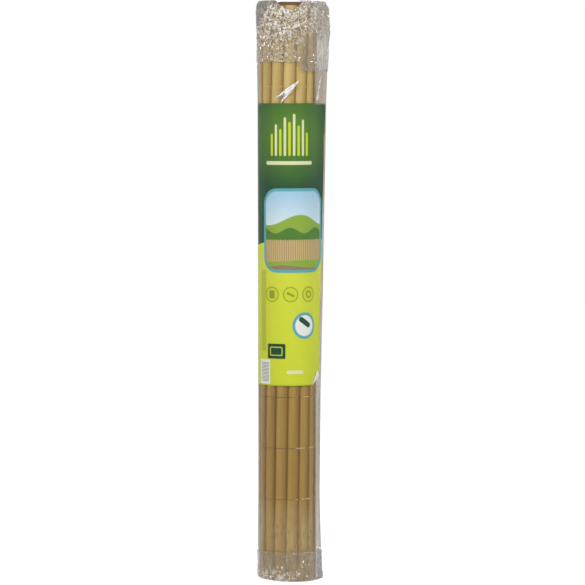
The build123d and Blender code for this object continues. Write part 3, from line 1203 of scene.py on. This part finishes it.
def crease_patch(start, end, width, fork):
    """Slack film between two places, each a side and a height, and how strongly its points are
    painted white as a highlight.

    The tail forks over a share of its length, or not at all where that is nought.
    """
    patch, grid = new_grid(60, 24)
    along, across = grid[:, 0] + 0.5, grid[:, 1] * 2
    course = np.array(end) - np.array(start)
    aside = np.array((-course[1], course[0])) / np.hypot(*course)
    taper = np.clip((1 - along) / 0.62, 0, 1) ** 0.8
    ragged = 1 + 0.10 * np.sin(11 * along + 1) + 0.06 * np.sin(27 * along)
    breadth = width * taper * ragged * (1.0 if fork else np.clip(along / 0.25, 0, 1))
    place = np.array(start) + along[:, None] * course + (across * breadth / 2)[:, None] * aside
    side, height = place.T
    radius, _, leave = film_outline(height)
    turn = FRONT + np.arcsin(np.clip(side / radius, -1, 1))
    on_wall = np.maximum(turn - (TURN - leave), 0)
    ridge = 0.0004 + 0.0012 * (1 - np.abs(across)) * np.sin(math.pi * along)
    reach = radius / np.cos(on_wall) + ridge
    move_points(patch.data, np.column_stack((reach * np.cos(turn), reach * np.sin(turn), height)))
    notch = 0.85 * np.clip(1 - along / fork, 0, 1) if fork else np.zeros(len(along))
    past_notch = np.where(notch > 0, np.clip((np.abs(across) - notch) * 6, 0, 1), 1)
    streaks = 0.7 + 0.3 * np.sin(8 * across + 6 * along)
    return patch, past_notch * streaks * np.clip((1 - np.abs(across)) * 4, 0, 1)


class REED_OT_creases(bpy.types.Operator):
    """Lays the slack creases on the sleeve above the label, each with a painted highlight of white
    haze for its glare
    """

    bl_idname = "reed_screen.creases"
    bl_label = "Film creases"

    def execute(self, context):
        film = context.scene.reed_film
        material = film_material(
            "creased film",
            film,
            film.white,
            gloss=0.13,
            index=1.5,
            most_shine=0.10,
            cell=0.004,
            tilt=0.1,
            stretch=0.5,
        )
        # Start, end, width and fork of each
        places = (
            ((-0.0180, 0.8325), (0.0195, 0.8680), 0.0125, 0.32),
            ((0.0478, 0.8310), (0.0500, 0.8530), 0.0028, 0.0),
            ((0.0495, 0.8490), (0.0525, 0.8790), 0.0014, 0.0),
        )
        for number, place in enumerate(places, 1):
            # Painted highlight: each crease is hazed white as far as its share says
            patch, body = crease_patch(*place)
            finish_film(patch, f"film_glare_crease_{number}", film, material, haze=1.1 * body)
        return {"FINISHED"}


def look_at(obj, target):
    obj.rotation_euler = (Vector(target) - obj.location).to_track_quat("-Z", "Y").to_euler()


def add_softbox(name, location, size, watts, tint):
    deselect_all()
    bpy.ops.object.light_add(type="AREA", location=location)
    lamp = bpy.context.object
    lamp.name = name
    lamp.data.shape = "RECTANGLE"
    lamp.data.size, lamp.data.size_y = size
    lamp.data.energy = watts
    lamp.data.color = tint
    look_at(lamp, (0, 0, 0.6))


def seen_directly(tree):
    """One for rays that show a surface to the camera, straight or by way of film or gloss."""
    rays = node(tree, "ShaderNodeLightPath").outputs
    seen = calc(tree, "MAXIMUM", rays["Is Camera Ray"], rays["Is Glossy Ray"])
    return calc(tree, "MAXIMUM", seen, rays["Is Transmission Ray"])


def floor_material(stage):
    """A matt floor that looks nearly white, with faint shadows, and throws back less light."""
    material, tree = new_material("pale floor")
    mottle = noise(tree, object_place(tree), 6, 2)
    dim_floor = tuple(part * 0.98 for part in stage.floor)
    tone = blend_colours(tree, mottle, dim_floor, stage.floor)
    matt = node(tree, "ShaderNodeBsdfDiffuse", {"Color": tone})
    faint = node(tree, "ShaderNodeBsdfDiffuse", {"Color": (0.3, 0.3, 0.3, 1)})
    white = node(tree, "ShaderNodeEmission", {"Color": WHITE, "Strength": 0.94})
    lit = node(tree, "ShaderNodeAddShader", {0: faint.outputs[0], 1: white.outputs[0]})
    output(tree, blend_shaders(tree, seen_directly(tree), matt, lit))
    return material


class REED_OT_stage(bpy.types.Operator):
    """Sets up the floor, the white surroundings, the soft lights and the camera"""

    bl_idname = "reed_screen.stage"
    bl_label = "Stage"

    def execute(self, context):
        scene = context.scene
        stage = scene.reed_stage
        scene.view_settings.view_transform = "Standard"

        deselect_all()
        bpy.ops.mesh.primitive_circle_add(
            vertices=96, radius=6, fill_type="NGON", location=(0, 0, -0.0005)
        )
        floor = context.object
        floor.name = "floor"
        bpy.ops.object.transform_apply(location=True, rotation=True, scale=True)
        floor.data.materials.append(floor_material(stage))

        world = bpy.data.worlds.new("studio")
        world.use_nodes = True
        tree = world.node_tree
        tree.nodes.clear()
        room = node(tree, "ShaderNodeBackground", {"Color": WHITE, "Strength": 0.28})
        white = node(tree, "ShaderNodeBackground", {"Color": WHITE, "Strength": 1.0})
        output(tree, blend_shaders(tree, seen_directly(tree), room, white), "World")
        scene.world = world

        warm, cool, neutral = (1.0, 0.985, 0.96), (0.97, 0.985, 1.0), (1.0, 1.0, 1.0)
        for name, location, size, watts, tint in (
            ("left key", (-2.3, -2.3, 2.1), (1.0, 1.2), 56, warm),
            ("front key", (-0.8, -3.0, 2.6), (0.5, 0.8), 5, warm),
            ("front fill", (0.9, -2.9, 2.4), (0.4, 0.8), 5, cool),
            ("right fill", (2.3, -2.2, 2.2), (0.5, 1.0), 57, cool),
            ("back light", (0.8, 2.6, 2.2), (1.4, 1.0), 46, neutral),
        ):
            add_softbox(name, location, size, watts, tint)

        deselect_all()
        eye = (stage.aim_side, -stage.distance, stage.eye_height)
        bpy.ops.object.camera_add(location=eye)
        camera = context.object
        camera.name = "camera"
        look_at(camera, (stage.aim_side, 0, stage.aim_height))
        to_roll = math.hypot(stage.distance, stage.eye_height - stage.aim_height)
        camera.data.sensor_width = 36
        camera.data.lens = camera.data.sensor_width * to_roll / stage.frame_width
        camera.data.clip_end = 100
        scene.camera = camera
        return {"FINISHED"}


class REED_PT_sidebar(bpy.types.Panel):
    """Lists the pieces of the rolled reed screen"""

    bl_idname = "REED_PT_sidebar"
    bl_label = "Rolled reed screen"
    bl_space_type = "VIEW_3D"
    bl_region_type = "UI"
    bl_category = "Reed screen"

    def draw(self, context):
        for operator in OPERATORS:
            self.layout.operator(operator.bl_idname)


SETTINGS = {
    "reed_canes": CaneSettings,
    "reed_threads": ThreadSettings,
    "reed_label": LabelSettings,
    "reed_film": FilmSettings,
    "reed_stage": StageSettings,
}
OPERATORS = (
    REED_OT_canes,
    REED_OT_threads,
    REED_OT_label,
    REED_OT_sleeve,
    REED_OT_cuffs,
    REED_OT_creases,
    REED_OT_stage,
)


def register():
    for name, settings in SETTINGS.items():
        bpy.utils.register_class(settings)
        setattr(bpy.types.Scene, name, PointerProperty(type=settings))
    for kind in (*OPERATORS, REED_PT_sidebar):
        bpy.utils.register_class(kind)


def unregister():
    for kind in (REED_PT_sidebar, *reversed(OPERATORS)):
        bpy.utils.unregister_class(kind)
    for name, settings in SETTINGS.items():
        delattr(bpy.types.Scene, name)
        bpy.utils.unregister_class(settings)


def main():
    register()
    bpy.ops.reed_screen.canes()
    bpy.ops.reed_screen.threads()
    bpy.ops.reed_screen.label()
    bpy.ops.reed_screen.sleeve()
    bpy.ops.reed_screen.cuffs()
    bpy.ops.reed_screen.creases()
    bpy.ops.reed_screen.stage()


if __name__ == "__main__":
    main()
